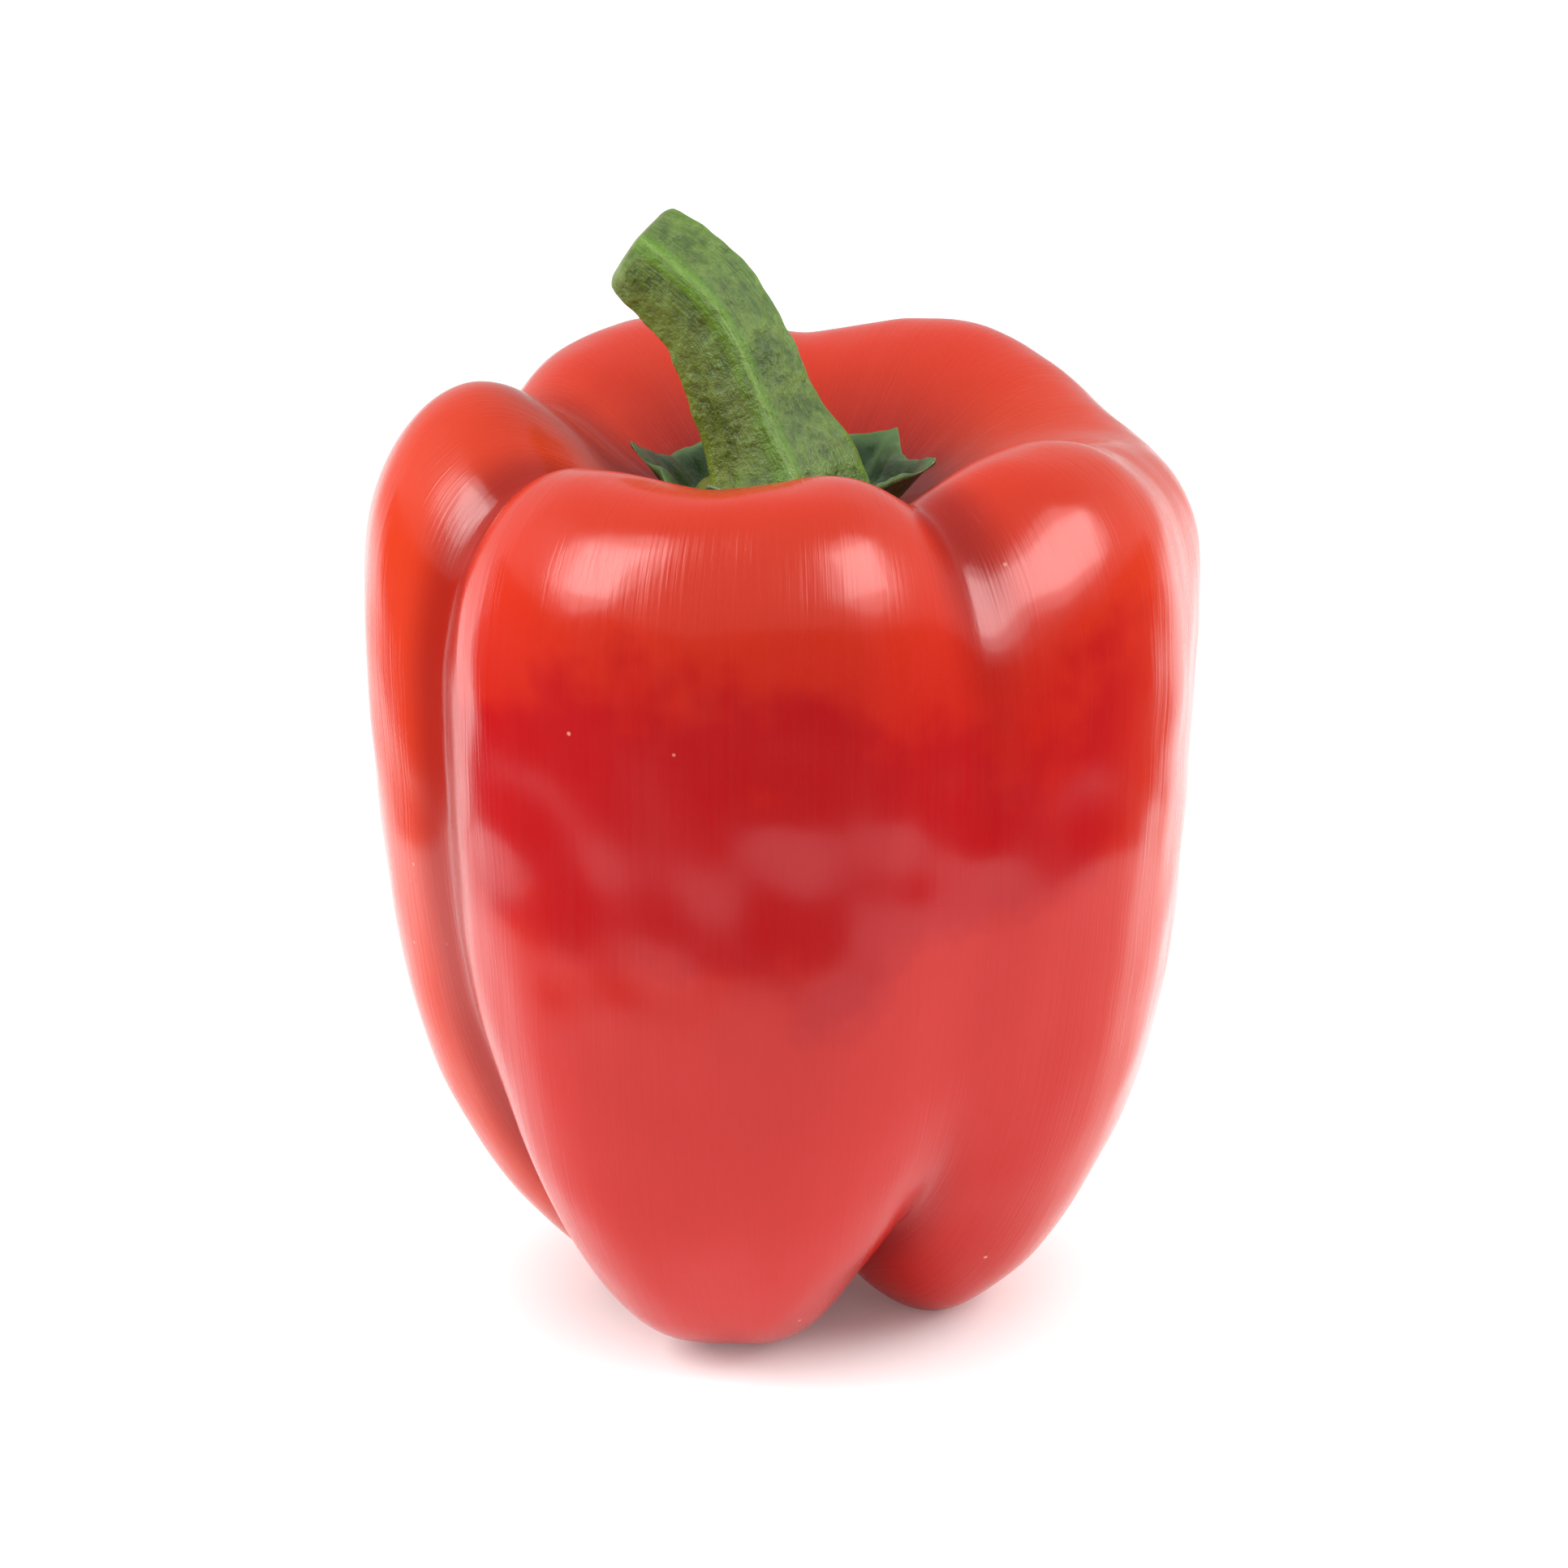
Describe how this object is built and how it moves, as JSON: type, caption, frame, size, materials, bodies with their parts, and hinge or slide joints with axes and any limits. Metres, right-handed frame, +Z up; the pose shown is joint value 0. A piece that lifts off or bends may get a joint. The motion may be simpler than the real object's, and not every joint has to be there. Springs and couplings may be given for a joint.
{
  "type": "bell pepper",
  "caption": "Blocky red bell pepper with lobed glossy skin, a sunken crown, a star-shaped green calyx and a bent ridged stem; rests upright on its lobes.",
  "frame": {"origin": "middle of the outline seen from above, on the floor plane under the feet", "axes": "+Z up along the growth axis towards the stem, -Y the front, where the widest lobe faces, +X to the right of someone facing the front"},
  "size_m": [0.0822, 0.0811, 0.108],
  "materials": {
    "red_skin": "waxy gloss",
    "calyx_green": "satin leaf",
    "stem_green": "satin, faintly waxy"
  },
  "bodies": {
    "root": {"fruit": "red_skin", "calyx": "calyx_green", "stem": "stem_green"}
  },
  "joints": []
}
